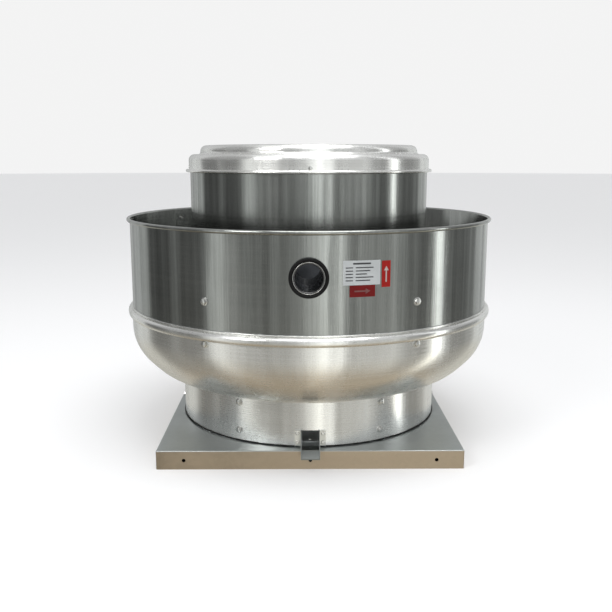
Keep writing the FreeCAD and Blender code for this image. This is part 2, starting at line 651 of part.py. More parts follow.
def compartment():
    """The shell round the motor, its deck, and the conduit tube that ventilates it."""
    shell = new_body("motor_compartment_shell")
    revolve(shell, [
        ("shell_radius - sheet", "shell_bottom"),
        ("shell_radius", "shell_bottom"),
        ("shell_radius", "shell_top"),
        ("shell_radius - sheet", "shell_top"),
    ])
    tube = [("tube_side", "tube_height", "tube_radius + 0.15")]
    cut(shell, circles(new_sketch(shell), tube), "shell_radius + 5", Reversed=True)
    screws = [("0", h, "2.2") for h in ("shell_bolt_low", "shell_bolt_high")]
    holes = cut(shell, circles(new_sketch(shell, "YZ_Plane"), screws), Reversed=True)
    around(shell, [holes], "support_count")
    slot = outline(new_sketch(shell, "YZ_Plane"), [
        ("-2.2", "cap_screw_height - 2.4", "1.6"), ("2.2", "cap_screw_height - 2.4", "1.6"),
        ("2.2", "shell_top + 1"), ("-2.2", "shell_top + 1"),
    ])
    around(shell, [cut(shell, slot, Reversed=True)], "4")

    deck = new_body("motor_deck")
    rim = "shell_radius - sheet - 0.1"
    revolve(deck, [
        ("deck_hole_radius", "deck_height"),
        (rim, "deck_height", "4"),
        (rim, "deck_height + deck_flange"),
        (f"{rim} - deck_sheet", "deck_height + deck_flange"),
        (f"{rim} - deck_sheet", "deck_height + deck_sheet", "4 - deck_sheet"),
        ("deck_hole_radius", "deck_height + deck_sheet"),
    ])
    hole = circles(new_sketch(deck, "XY_Plane"), [("isolator_circle", "0", "4.2")])
    around(deck, [cut(deck, hole, Reversed=True)], "4")
    rivets = new_body("deck_rivets", many=True)
    made = rivet(rivets, [("0", "deck_height + 14")], "shell_radius", "sheet + deck_sheet + 0.1")
    around(rivets, made, "12")
    turn_body(rivets, 15)

    conduit = new_body("conduit_tube")
    ring = circles(new_sketch(conduit, offset="tube_inner_end"),
                   [("tube_side", "tube_height", "tube_radius"), ("tube_side", "tube_height", "tube_bore")])
    pipe = pad(conduit, ring, "tube_outer_end - tube_inner_end")
    doc.recompute()
    ends = [f"Edge{i}" for i, e in enumerate(conduit.Shape.Edges, start=1) if len(e.Vertexes) == 1]
    bevel = conduit.newObject("PartDesign::Chamfer", "conduit_bevel")
    bevel.Base = (pipe, ends)
    bevel.Size = 0.7
    bell = circles(new_sketch(conduit, offset="tube_inner_end"), [("tube_side", "tube_height", "tube_bell")])
    cut(conduit, bell, "tube_bell_end - tube_inner_end", Reversed=True)

    nuts = new_body("conduit_locknuts", many=True)
    inside = "sqrt((shell_radius - sheet)^2 - 36.5^2) - 5.1"
    for start in (inside, "shell_radius + 0.05"):
        crown = solid(nuts, "AdditivePrism", ("tube_side", "tube_height", start), "XZ_Plane", Polygon=8,
                      Circumradius="tube_radius + 8", Height="5")
        solid(nuts, "SubtractiveCylinder", ("tube_side", "tube_height", f"{start} - 1"), "XZ_Plane",
              Radius="tube_radius + 0.05", Height="7")
        crown.Visibility = False


def grommet():
    """The rubber ring that seals the conduit tube in the windband."""
    body = new_body("conduit_grommet", many=True)
    bore = ("tube_side", "tube_height", "tube_radius + 0.05")
    edge = ("tube_side", "tube_height", "grommet_radius")
    disc = circles(new_sketch(body, offset="wall_radius - 7"), [edge, bore])
    ring = pad(body, disc, "grommet_face - wall_radius + 7")
    doc.recompute()
    face = [
        f"Edge{i}" for i, e in enumerate(body.Shape.Edges, start=1)
        if len(e.Vertexes) == 1 and e.BoundBox.XLength > value("grommet_radius * 2") - TINY
    ]
    soft = body.newObject("PartDesign::Fillet", "grommet_round")
    soft.Base = (ring, face)
    soft.Radius = 2.6
    revolve(body, rectangle("wall_radius - sheet - 0.05", "tube_height - 40",
                            "wall_radius + 0.05", "tube_height + 40"), kind="Groove")
    waist = ("tube_side", "tube_height", "tube_hole_radius - 0.05")
    sleeve = circles(new_sketch(body, offset="wall_radius - 6"), [waist, bore])
    pad(body, sleeve, "9")


# ---------------------------------------------------------------- spout and labels


def grease_spout():
    """The open channel that carries grease out of the neck and over the curb cap's edge."""
    body = new_body("grease_spout")
    wall, thick = "outlet_half + spout_sheet", "spout_sheet"
    start = "sqrt(neck_radius^2 - (outlet_half + spout_sheet)^2) - 0.4"
    floor = "skirt_height + 0.4"
    reach, lip = "spout_reach", "spout_lip_height"
    side = outline(new_sketch(body, "YZ_Plane", f"-({wall})"), [
        (f"-({start})", floor), ("-spout_bend", floor), (f"-{reach}", lip),
        (f"-{reach}", f"{lip} + 7", "2"), (f"-({start}) - 5", "outlet_top", "2"),
        (f"-({start})", "outlet_top"),
    ])
    pad(body, side, f"2 * ({wall})")
    hollow = outline(new_sketch(body, "YZ_Plane", "-outlet_half"), [
        (f"-({start}) + 1", f"{floor} + {thick}"), ("-spout_bend - 0.7", f"{floor} + {thick}"),
        (f"-{reach} - 1", f"{lip} + {thick}"),
        (f"-{reach} - 1", "outlet_top + 1"), (f"-({start}) + 1", "outlet_top + 1"),
    ])
    cut(body, hollow, "2 * outlet_half", Reversed=True)
    for left, right in ((f"{wall} - 0.2", "spout_flange_half"), ("-spout_flange_half", f"-({wall}) + 0.2")):
        flange = rectangle(left, "skirt_height + 3.4", right, "outlet_top")
        pad(body, outline(new_sketch(body, offset="neck_radius - 6"), flange), "8")
    revolve(body, rectangle("neck_radius - 20", "skirt_height - 1", "neck_radius + 0.05", "outlet_top + 2"),
            kind="Groove")
    ring = new_sketch(body, "XY_Plane", "skirt_height + 1")
    flange_face = "neck_radius + spout_sheet + 0.05"
    for sign in ("-", ""):
        edge, far = f"{sign}({wall} + 0.01)", f"{sign}(spout_flange_half + 2)"
        front, back = f"-({flange_face})", "-neck_radius - 12"
        outline(ring, [(edge, front), (far, front), (far, back), (edge, back)])
    cut(body, ring, "outlet_top", Reversed=True)
    rivets = new_body("spout_rivets", many=True)
    places = [(x, height) for x in ("-20.6", "20.6") for height in ("40", "55")]
    rivet(rivets, places, flange_face, "spout_sheet + sheet + 1.1", "XZ_Plane")


def label(name, low, high, middle, span, thick="0.3"):
    """A thin printed plate that follows the windband. middle and span are in degrees from the front."""
    body = new_body(name)
    face = outline(new_sketch(body), rectangle("wall_radius", low, f"wall_radius + {thick}", high))
    feature(body, "Revolution", face, ReferenceAxis=(face, ["V_Axis"]), Angle=span, Midplane=True)
    turn_body(body, middle - 90)


# ---------------------------------------------------------------- wheel


def wheel():
    """The backward-inclined centrifugal wheel, hung on the motor's shaft."""
    hub = new_body("wheel_hub")
    revolve(hub, [
        ("shaft_radius + 0.02", "hub_bottom"),
        ("hub_radius", "hub_bottom", "2"),
        ("hub_radius", "backplate_height - 6", "3"),
        ("hub_flange_radius", "backplate_height - 6"),
        ("hub_flange_radius", "backplate_height"),
        ("shaft_radius + 0.02", "backplate_height"),
    ])
    hole = circles(new_sketch(hub, "XY_Plane"), [("31", "0", "3.05")])
    around(hub, [cut(hub, hole, Midplane=True)], "4")
    screw_hole = circles(new_sketch(hub, "YZ_Plane"), [("0", "hub_bottom + 14", "3")])
    around(hub, [cut(hub, screw_hole, Reversed=True)], "2", "90")

    bolts = new_body("hub_bolts", many=True)
    made = bolt(bolts, [("31", "0")], "backplate_height + wheel_sheet", "wheel_sheet + 10", "XY_Plane")
    around(bolts, made, "4")
    keys = new_body("hub_set_screws", many=True)
    grub = peg(keys, [("0", "hub_bottom + 14")], "2.95", "shaft_radius + 0.1",
               "hub_radius - shaft_radius - 1")
    socket = outline(new_sketch(keys, "YZ_Plane", "hub_radius - 4"), hexagon("0", "hub_bottom + 14", "1.7"))
    around(keys, [grub, cut(keys, socket, "6", Reversed=True)], "2", "90")

    plate = new_body("wheel_backplate")
    revolve(plate, [
        ("shaft_radius + 2", "backplate_height"),
        ("wheel_radius", "backplate_height"),
        ("wheel_radius", "backplate_height + wheel_sheet"),
        ("shaft_radius + 2", "backplate_height + wheel_sheet"),
    ])
    hole = circles(new_sketch(plate, "XY_Plane"), [("31", "0", "3.05")])
    around(plate, [cut(plate, hole, Midplane=True)], "4")

    eye, top = "wheel_eye_radius", "wheel_shroud_height"
    shroud = new_body("wheel_shroud")
    revolve(shroud, [
        (f"{eye} - wheel_sheet", "wheel_bottom"),
        (eye, "wheel_bottom"),
        (eye, f"{top} - 18", "14"),
        ("wheel_radius", top),
        ("wheel_radius", f"{top} + wheel_sheet"),
        (f"{eye} - wheel_sheet", f"{top} - 18 + wheel_sheet", "14 + wheel_sheet"),
    ])

    blades = new_body("wheel_blades", many=True)
    blade = outline(new_sketch(blades, "XY_Plane", "wheel_bottom + 8"), [
        ("blade_inner_radius", "0"),
        ("138", "-52", "150"),
        ("134", "-114"),
        ("136", "-114"),
        ("140.4", "-51.5", "148"),
        ("blade_inner_radius + 2", "0"),
    ])
    one = pad(blades, blade, "backplate_height - wheel_bottom - 8")
    around(blades, [one], "blade_count")
    shroud_side = revolve(blades, [
        ("60", "wheel_bottom"),
        ("wheel_radius + 5", "wheel_bottom"),
        ("wheel_radius + 5", f"{top} + wheel_sheet + 1.9"),
        (f"{eye} - wheel_sheet", f"{top} - 18 + wheel_sheet + 0.05", "14 + wheel_sheet"),
        (f"{eye} - wheel_sheet", f"{top} - 22"),
        ("60", f"{top} - 22"),
    ], kind="Groove")
    blades.Tip = shroud_side

    slinger = new_body("shaft_slinger")
    revolve(slinger, [
        ("shaft_radius + 0.02", "backplate_height + 6"),
        ("14", "backplate_height + 6"),
        ("24", "backplate_height + 4"),
        ("24", "backplate_height + 5.6"),
        ("12", "backplate_height + 8.4"),
        ("12", "backplate_height + 14"),
        ("shaft_radius + 0.02", "backplate_height + 14"),
    ])


# ---------------------------------------------------------------- motor


def motor():
    """The direct-drive motor: can, end bells, stator, rotor, shaft, bearings and through bolts."""
    can = new_body("motor_can")
    revolve(can, [
        ("motor_radius - 2", "can_bottom"), ("motor_radius", "can_bottom"),
        ("motor_radius", "can_top"), ("motor_radius - 2", "can_top"),
    ])
    stator = new_body("motor_stator")
    revolve(stator, [
        ("38.6", "can_bottom + 24"), ("42", "can_bottom + 12", "5"), ("62", "can_bottom + 12", "8"),
        ("64", "can_bottom + 30"), ("motor_radius - 2.02", "can_bottom + 30"),
        ("motor_radius - 2.02", "can_top - 30"), ("64", "can_top - 30"),
        ("62", "can_top - 12", "8"), ("42", "can_top - 12", "5"), ("38.6", "can_top - 24"),
    ])
    stud_place = ("stud_circle * cos(22.5 deg)", "stud_circle * sin(22.5 deg)", "2.7")
    stud_hole = circles(new_sketch(stator, "XY_Plane"), [stud_place])
    around(stator, [cut(stator, stud_hole, Reversed=True)], "4")
    seat, land = "bearing_radius + 0.02", "bearing_width"
    for name, sign, face, edge in (
        ("motor_lower_bell", "+", "motor_bottom", "can_bottom"),
        ("motor_upper_bell", "-", "motor_top", "can_top"),
    ):
        bell = new_body(name)
        revolve(bell, [
            ("12", face), ("30", face, "3"), ("36", f"{face} {sign} 8", "5"),
            ("motor_radius", f"{face} {sign} 8", "6"), ("motor_radius", edge),
            ("motor_radius - 4", edge), ("motor_radius - 4", f"{face} {sign} 12", "2.5"),
            ("32", f"{face} {sign} 12", "2.5"), ("26", f"{face} {sign} ({land} + 4)"),
            (seat, f"{face} {sign} ({land} + 4)"), (seat, f"{face} {sign} 4"), ("12", f"{face} {sign} 4"),
        ])
        slots = outline(new_sketch(bell, "XY_Plane"), [
            ("42", "-5", "3"), ("56", "-6", "3"), ("56", "6", "3"), ("42", "5", "3")])
        vent = cut(bell, slots, Midplane=True)
        stud = cut(bell, circles(new_sketch(bell, "XY_Plane"), [stud_place]), Midplane=True)
        around(bell, [vent], "8")
        around(bell, [stud], "4")

    studs = new_body("motor_through_bolts", many=True)
    x, y = "stud_circle * cos(22.5 deg)", "stud_circle * sin(22.5 deg)"
    length = "motor_top - mount_plate_height + 3"
    made = [
        peg(studs, [(x, y)], "2.5", "mount_plate_height - 8", length, "XY_Plane"),
        hex_peg(studs, [(x, y)], "4.6", "motor_top - 8 + 0.02", "4", "XY_Plane"),
        hex_peg(studs, [(x, y)], "4.6", "mount_plate_height - 4.5", "4.4", "XY_Plane"),
    ]
    around(studs, made, "4")

    shaft = new_body("motor_shaft")
    revolve(shaft, [
        ("0", "hub_bottom - 6"), ("shaft_radius", "hub_bottom - 6", "1"),
        ("shaft_radius", "motor_top - 4.4"), ("0", "motor_top - 4.4"),
    ])
    rotor = new_body("motor_rotor")
    revolve(rotor, [
        ("shaft_radius + 0.02", "can_bottom + 24"), ("30", "can_bottom + 24", "2"),
        ("38", "can_bottom + 28", "1"), ("38", "can_top - 28", "1"), ("30", "can_top - 24", "2"),
        ("shaft_radius + 0.02", "can_top - 24"),
    ])

    outer = new_body("bearing_outer_rings", many=True)
    inner = new_body("bearing_inner_rings", many=True)
    balls = new_body("bearing_ball_cages", many=True)
    made = []
    for base in ("motor_bottom + 4", "motor_top - 4 - bearing_width"):
        middle = f"{base} + bearing_width / 2"
        race = "ball_radius + 0.08"
        for body, wall, lip in ((outer, "bearing_radius", "ball_circle + 1.7"),
                                (inner, "shaft_radius + 0.01", "ball_circle - 1.7")):
            revolve(body, rectangle(wall, f"{base} + 0.02", lip, f"{base} + bearing_width - 0.02"))
            groove = circles(new_sketch(body), [("ball_circle", middle, race)])
            feature(body, "Groove", groove, ReferenceAxis=(groove, ["V_Axis"]))
        ball = solid(balls, "AdditiveSphere", ("ball_circle", "0", middle), "XY_Plane", Radius="ball_radius")
        ribbon = rectangle("ball_circle - 1.2", f"{middle} - 1.5", "ball_circle + 1.2", f"{middle} + 1.5")
        cage = revolve(balls, ribbon)
        made += [ball, cage]
    around(balls, made, "ball_count")


def motor_mount():
    """The plate under the motor, on four rubber isolators, and the seal round the shaft."""
    plate = new_body("motor_mount_plate")
    top = "mount_plate_height + 5"
    revolve(plate, rectangle("34", "mount_plate_height", "104", top))
    x, y = "stud_circle * cos(22.5 deg)", "stud_circle * sin(22.5 deg)"
    holes = [(x, y, "2.7"), ("isolator_circle", "0", "4.2")]
    around(plate, [cut(plate, circles(new_sketch(plate, "XY_Plane"), holes), Midplane=True)], "4")
    spacers = new_body("motor_spacers", many=True)
    ring = circles(new_sketch(spacers, "XY_Plane", f"{top} + 0.02"), [(x, y, "5.5"), (x, y, "2.6")])
    around(spacers, [pad(spacers, ring, "motor_bottom + 8 - mount_plate_height - 5 - 0.04")], "4")

    rubber = new_body("rubber_isolators", many=True)
    low = "deck_height + deck_sheet"
    ring = circles(new_sketch(rubber, "XY_Plane", low), [
        ("isolator_circle", "0", "13"), ("isolator_circle", "0", "4.1")])
    around(rubber, [pad(rubber, ring, f"mount_plate_height - ({low})")], "4")
    bolts = new_body("isolator_bolts", many=True)
    grip = "mount_plate_height + 5 - deck_height + 6"
    made = bolt(bolts, [("isolator_circle", "0")], top, grip, "XY_Plane", size=1.3)
    around(bolts, made, "4")

    seal = new_body("shaft_seal")
    revolve(seal, [
        ("shaft_radius + 0.3", "deck_height + 0.4"), ("deck_hole_radius - 0.05", "deck_height + 0.4"),
        ("deck_hole_radius - 0.05", "deck_height + deck_sheet"), ("32", "deck_height + deck_sheet"),
        ("32", "deck_height + deck_sheet + 4", "1.5"), ("shaft_radius + 0.3", "deck_height + deck_sheet + 4"),
    ])

    part = new_body("capacitor")
    solid(part, "AdditiveCylinder", ("-motor_radius - 21.5", "0", "can_bottom + 10"), "XY_Plane",
          Radius="20", Height="78")
    for step in (-1, 1):
        solid(part, "AdditiveBox", (f"-motor_radius - 21.5 - 3.2 + {step} * 8", "-0.8", "can_bottom + 87"),
              "XY_Plane", Length="6.4", Width="1.6", Height="11")
    strap = new_body("capacitor_strap")
    ring = circles(new_sketch(strap, "XY_Plane", "can_bottom + 38"), [
        ("-motor_radius - 21.5", "0", "21.4"), ("-motor_radius - 21.5", "0", "20.02")])
    pad(strap, ring, "16")


# ---------------------------------------------------------------- disconnect switch


def disconnect():
    """The service switch beside the motor, with the short flexible conduit to it."""
    shelf = new_body("switch_bracket")
    face = "sqrt((shell_radius - sheet)^2 - 20^2) - 0.1"
    floor = "box_bottom - box_sheet - 0.4"
    arm = outline(new_sketch(shelf), [
        ("box_inner + 4", floor), (face, floor, "3"), (face, "box_top - 4"), (f"{face} - 2", "box_top - 4"),
        (f"{face} - 2", f"{floor} + 2", "1"), ("box_inner + 4", f"{floor} + 2"),
    ])
    pad(shelf, arm, "40", Midplane=True)
    box = new_body("switch_box")
    outer = [(x, y, "3") for x, y in rectangle("box_inner", "-box_half", "box_outer", "box_half")]
    pad(box, outline(new_sketch(box, "XY_Plane", "box_bottom + 0.05"), outer), "box_top - box_bottom - 0.05")
    room = [(x, y, "1.6") for x, y in rectangle("box_inner + box_sheet", "-box_half + box_sheet",
                                                "box_outer - box_sheet", "box_half - box_sheet")]
    cut(box, outline(new_sketch(box, "XY_Plane", "box_bottom + box_sheet"), room),
        "box_top - box_bottom", Reversed=True)
    side_hole = circles(new_sketch(box, "YZ_Plane", "box_inner - 1"), [("-26", "box_bottom + 20", "11")])
    cut(box, side_hole, "5", Reversed=True)

    cover = new_body("switch_cover")
    edge = rectangle("box_inner - 1", "-box_half - 1", "box_outer + 1", "box_half + 1")
    lid = [(x, y, "4") for x, y in edge]
    face = outline(new_sketch(cover, "XY_Plane", "box_top + 0.05"), lid)
    middle = "(box_inner + box_outer) / 2"
    outline(face, rectangle(f"{middle} - 6", "-12.5", f"{middle} + 6", "12.5"))
    circles(face, [(middle, "-34", "1.9"), (middle, "34", "1.9")])
    pad(cover, face, "box_sheet")
    screws = new_body("switch_cover_screws", many=True)
    places = [(middle, "-34"), (middle, "34")]
    peg(screws, places, "3.4", "box_top + 0.05 + box_sheet", "1.8", "XY_Plane")
    peg(screws, places, "1.75", "box_top - 10", "12.5", "XY_Plane")

    block = new_body("switch_block")
    solid(block, "AdditiveBox", (f"{middle} - 15", "-31", "box_top - 34"), "XY_Plane",
          Length="30", Width="62", Height="33.9")
    well = rectangle(f"{middle} - 5.2", "-12", f"{middle} + 5.2", "12")
    cut(block, outline(new_sketch(block, "XY_Plane", "box_top - 18"), well), "30", Reversed=True)
    pivot = circles(new_sketch(block, "YZ_Plane", f"{middle} - 7.4"), [("0", "box_top - 8", "1.56")])
    cut(block, pivot, "14.8", Reversed=True)

    toggle = new_body("switch_toggle")
    lever = outline(new_sketch(toggle, "YZ_Plane", f"{middle} - 4"), [
        ("-5", "box_top - 12.6", "4"), ("5", "box_top - 12.6", "4"), ("4.4", "box_top - 2", "3"),
        ("3.2", "box_top + 13", "2.6"), ("-3.2", "box_top + 13", "2.6"), ("-4.4", "box_top - 2", "3"),
    ])
    pad(toggle, lever, "8")
    peg(toggle, [("0", "box_top - 8")], "1.5", f"{middle} - 7", "14")
    axis = FreeCAD.Vector(0, 0, value("box_top - 8"))
    lean = FreeCAD.Rotation(FreeCAD.Vector(1, 0, 0), 22)
    toggle.Placement = FreeCAD.Placement(FreeCAD.Vector(), lean, axis)

    pipe = new_body("motor_lead_conduit")
    lead_height = "box_bottom + 20"
    route = new_sketch(pipe, offset="26")
    points = [("box_inner + box_sheet", lead_height), ("86", lead_height), ("86", "can_top - 34")]
    spots = [FreeCAD.Vector(value(a), value(b), 0) for a, b in points]
    bend_radius = 26
    lines, arcs = [], []
    starts, stops = list(spots), list(spots)
    for i in range(1, len(spots) - 1):
        before, after = (spots[i - 1] - spots[i]).normalize(), (spots[i + 1] - spots[i]).normalize()
        half = before.getAngle(after) / 2
        reach = bend_radius / math.tan(half)
        stops[i], starts[i] = spots[i] + before * reach, spots[i] + after * reach
        middle_way = (before + after).normalize()
        centre = spots[i] + middle_way * (bend_radius / math.sin(half))
        arcs.append((stops[i], centre - middle_way * bend_radius, starts[i]))
    for i in range(len(spots) - 1):
        lines.append(Part.LineSegment(starts[i], stops[i + 1]))
    for piece in (lines[0], Part.Arc(*arcs[0]), lines[1]):
        route.addGeometry(piece, False)
    for index in range(2):
        route.addConstraint(Sketcher.Constraint("Coincident", *joined(route, index)))
    section = circles(new_sketch(pipe, "YZ_Plane", points[0][0]), [("-26", lead_height, "7.5")])
    bent = pipe.newObject("PartDesign::AdditivePipe", "lead_sweep")
    bent.Profile = section
    bent.Spine = route
    peg(pipe, [("-26", "can_top - 24")], "5", "66.9", "20")


def joined(sketch, index):
    """The ends of two neighbouring edges that meet, as a Coincident constraint names them."""
    first, second = sketch.Geometry[index], sketch.Geometry[index + 1]
    pairs = [(a, b) for a in (1, 2) for b in (1, 2)]

    def end(edge, which):
        return edge.StartPoint if which == 1 else edge.EndPoint

    near = min(pairs, key=lambda p: (end(first, p[0]) - end(second, p[1])).Length)
    return index, near[0], index + 1, near[1]


# ---------------------------------------------------------------- build and write

curb_cap()
inlet_venturi()
bowl_shell()
bowl_neck()
base_sealant()
windband()
windband_seam()
top_cap()
supports()
support_bolts()
compartment()
grommet()
grease_spout()
label("rating_label", "310", "346", 13.3, 10.2)
label("airflow_label", "305.5", "344.5", 20.1, 2.5)
label("rotation_label", "292.4", "309.6", 13.5, 7.0)
wheel()
motor()
motor_mount()
disconnect()
doc.recompute()

faults = [f"{o.Name}: {o.State}" for o in doc.Objects if {"Invalid", "Error"} & set(o.State)]
for part in subparts:
    if part.Shape.isNull() or not part.Shape.isValid():
        faults.append(f"{part.Label}: its shape is not valid")
if faults:
    raise ValueError("\n".join(faults))

os.makedirs("parts", exist_ok=True)
for name in os.listdir("parts"):
    os.remove(os.path.join("parts", name))
for part in subparts:
    part.Shape.exportStep(os.path.join("parts", part.Label + ".step"))
    print(f"{part.Label}: {len(part.Shape.Solids)} solids, {part.Shape.Volume / 1000:.1f} cm3")
print(len(subparts), "nodes")
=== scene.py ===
"""Looks for the up-blast exhaust fan: materials, printed labels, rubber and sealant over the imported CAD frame."""

import json
import math

import bpy
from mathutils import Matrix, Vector


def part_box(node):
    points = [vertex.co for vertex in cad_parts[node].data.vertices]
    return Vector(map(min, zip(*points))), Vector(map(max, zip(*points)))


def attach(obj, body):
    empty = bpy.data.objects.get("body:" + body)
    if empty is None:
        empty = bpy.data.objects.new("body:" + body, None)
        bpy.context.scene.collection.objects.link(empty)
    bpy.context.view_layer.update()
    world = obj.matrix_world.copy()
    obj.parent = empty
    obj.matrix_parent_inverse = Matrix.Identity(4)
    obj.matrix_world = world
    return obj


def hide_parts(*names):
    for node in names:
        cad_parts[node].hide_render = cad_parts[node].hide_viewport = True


MM = 0.001
WALL = 319.5 * MM  # outside radius of the windband
FRONT = math.radians(-90)  # azimuth of the front, counted from +X
CREASE = math.radians(32)  # edges sharper than this stay crisp
WELD_GAP = 0.005 * MM
BOLT_WEAR = 0.35 * MM  # bevel on bolt and screw edges
BEAD_HEIGHT = 225.7 * MM  # middle of the bowl's stiffening bead
BEAD_HALF = 7 * MM
BEAD_CORNER = 6.2 * MM
PRINT_PROUD = 0.45 * MM  # how far the print stands off the windband, just over the plates

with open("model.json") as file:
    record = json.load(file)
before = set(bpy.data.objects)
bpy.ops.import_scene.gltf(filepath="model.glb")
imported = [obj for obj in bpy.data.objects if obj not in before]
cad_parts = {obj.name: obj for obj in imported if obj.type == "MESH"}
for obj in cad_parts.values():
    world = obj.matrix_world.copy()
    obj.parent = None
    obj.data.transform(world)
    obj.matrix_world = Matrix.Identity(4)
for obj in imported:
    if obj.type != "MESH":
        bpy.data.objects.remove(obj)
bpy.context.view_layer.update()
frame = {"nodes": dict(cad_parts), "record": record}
scene = bpy.context.scene
nodes = frame["nodes"]


# ---------------------------------------------------------------- shader tools


class Shader:
    """A material's node tree, with one short call for each kind of node."""

    def __init__(self, name, material=None):
        self.material = material or bpy.data.materials.new(name)
        self.material.use_nodes = True
        self.tree = self.material.node_tree
        self.surface = self.tree.nodes["Principled BSDF"]
        self.position = self.add("ShaderNodeTexCoord").outputs["Object"]

    def add(self, kind, **settings):
        node = self.tree.nodes.new(kind)
        for name, setting in settings.items():
            setattr(node, name, setting)
        return node

    def link(self, out, into):
        self.tree.links.new(out, into)

    def feed(self, node, **inputs):
        """Sets or links the inputs of a node, by name with spaces as underscores, or as in0, in1 and so on."""
        for name, given in inputs.items():
            socket = node.inputs[int(name[2:])] if name[2:].isdigit() else node.inputs[name.replace("_", " ")]
            if isinstance(given, bpy.types.NodeSocket):
                self.link(given, socket)
            else:
                socket.default_value = given
        return node

    def math(self, operation, a, b=0.0):
        node = self.add("ShaderNodeMath", operation=operation)
        return self.feed(node, in0=a, in1=b).outputs[0]

    def stretch(self, vector, scale):
        node = self.add("ShaderNodeMapping")
        return self.feed(node, Vector=vector, Scale=scale).outputs[0]

    def noise(self, vector, scale, detail=3.0, roughness=0.5):
        node = self.add("ShaderNodeTexNoise")
        return self.feed(node, Vector=vector, Scale=scale, Detail=detail, Roughness=roughness).outputs["Fac"]

    def spread(self, fac, low, high, start=0.3, end=0.7):
        """Maps a texture's start..end to low..high."""
        node = self.add("ShaderNodeMapRange")
        self.feed(node, in0=fac, in1=start, in2=end, in3=low, in4=high)
        return node.outputs[0]

    def colours(self, fac, first, second, start=0.3, end=0.7):
        ramp = self.add("ShaderNodeValToRGB")
        ramp.color_ramp.elements[0].position = start
        ramp.color_ramp.elements[1].position = end
        ramp.color_ramp.elements[0].color = (*first, 1)
        ramp.color_ramp.elements[1].color = (*second, 1)
        self.link(fac, ramp.inputs[0])
        return ramp.outputs[0]

    def rings(self, scale):
        """A noise that is the same all round the upright axis, so that it draws fine turned lines."""
        flat = self.add("ShaderNodeVectorMath", operation="MULTIPLY")
        self.feed(flat, in0=self.position, in1=(1, 1, 0))
        radius = self.add("ShaderNodeVectorMath", operation="LENGTH")
        self.link(flat.outputs[0], radius.inputs[0])
        apart = self.add("ShaderNodeSeparateXYZ")
        self.link(self.position, apart.inputs[0])
        joined = self.add("ShaderNodeCombineXYZ")
        self.link(radius.outputs["Value"], joined.inputs[0])
        self.link(apart.outputs[2], joined.inputs[1])
        return self.noise(joined.outputs[0], scale, 2.0)

    def bump(self, height, strength, distance, normal=None):
        node = self.add("ShaderNodeBump")
        self.feed(node, Height=height, Strength=strength, Distance=distance)
        if normal is not None:
            self.link(normal, node.inputs["Normal"])
        return node.outputs[0]


def turned_metal(name, light, dark, roughness, ring_bump, ripple, anisotropy=0.0, streak=0.0, grain=0.0):
    """Aluminium worked round the upright axis: fine rings, faint upright ripples and a stretched gloss.
    grain is the share of fine upright lines in its colour; what is left of it goes to the rings."""
    s = Shader(name)
    rings = s.rings(900)
    ripples = s.noise(s.stretch(s.position, (1, 1, 0.05)), 26, 7, 0.68)
    lines = s.noise(s.stretch(s.position, (1, 1, 0.015)), 240, 3, 0.6)
    clouds = s.noise(s.position, 9, 4)
    broad = s.math("ADD", s.math("MULTIPLY", clouds, 0.35), s.math("MULTIPLY", ripples, 0.25))
    fine = s.math("ADD", s.math("MULTIPLY", lines, grain), s.math("MULTIPLY", rings, 0.4 - grain))
    shade = s.math("ADD", broad, fine)
    s.feed(s.surface, Base_Color=s.colours(shade, dark, light, 0.38, 0.60), Metallic=1.0)
    gloss = s.math("ADD", s.spread(ripples, -streak, streak), s.spread(rings, -0.03, 0.03))
    s.feed(s.surface, Roughness=s.math("ADD", gloss, roughness))
    wave = s.bump(ripples, ripple, 4 * MM)
    s.feed(s.surface, Normal=s.bump(rings, ring_bump, 0.25 * MM, wave))
    if anisotropy:
        s.feed(s.surface, Anisotropic=anisotropy, Anisotropic_Rotation=0.25)
        tangent = s.add("ShaderNodeTangent", direction_type="RADIAL", axis="Z")
        s.link(tangent.outputs[0], s.surface.inputs["Tangent"])
    return s.material


def plated_metal(name, light, dark, roughness, spangle=60, bump=0.1):
    """Galvanised or zinc-plated steel: flat crystals of slightly different grey."""
    s = Shader(name)
    cells = s.add("ShaderNodeTexVoronoi")
    s.feed(cells, Vector=s.position, Scale=float(spangle))
    grey = s.add("ShaderNodeSeparateColor")
    s.link(cells.outputs["Color"], grey.inputs[0])
    clouds = s.noise(s.position, 14, 5)
    shade = s.math("ADD", s.math("MULTIPLY", grey.outputs[0], 0.15), s.math("MULTIPLY", clouds, 0.85))
    s.feed(s.surface, Base_Color=s.colours(shade, dark, light, 0.25, 0.75), Metallic=1.0)
    s.feed(s.surface, Roughness=s.spread(shade, roughness - 0.08, roughness + 0.1))
    s.feed(s.surface, Normal=s.bump(s.noise(s.position, 500, 3), bump, 0.2 * MM))
    return s.material


def painted_light_two_tone(name, near, far, roughness, axis, start, end):
    """Plated steel whose grey changes from near to far between two distances from the fan's middle plane, or
    above its foot, along an axis. The change is painted light: a painted reflection on the curb cap's skirt and
    painted shade in the grease spout's channel."""
    material = plated_metal(name, near, [0.78 * level for level in near], roughness, 160)
    s = Shader(name, material)
    apart = s.add("ShaderNodeSeparateXYZ")
    s.link(s.position, apart.inputs[0])
    mix = s.add("ShaderNodeMix", data_type="RGBA")
    s.feed(mix, in0=s.spread(s.math("ABSOLUTE", apart.outputs[axis]), 0.0, 1.0, start, end))
    s.link(s.surface.inputs["Base Color"].links[0].from_socket, mix.inputs[6])
    s.feed(mix, in7=(*far, 1))
    s.link(mix.outputs[2], s.surface.inputs["Base Color"])
    return material


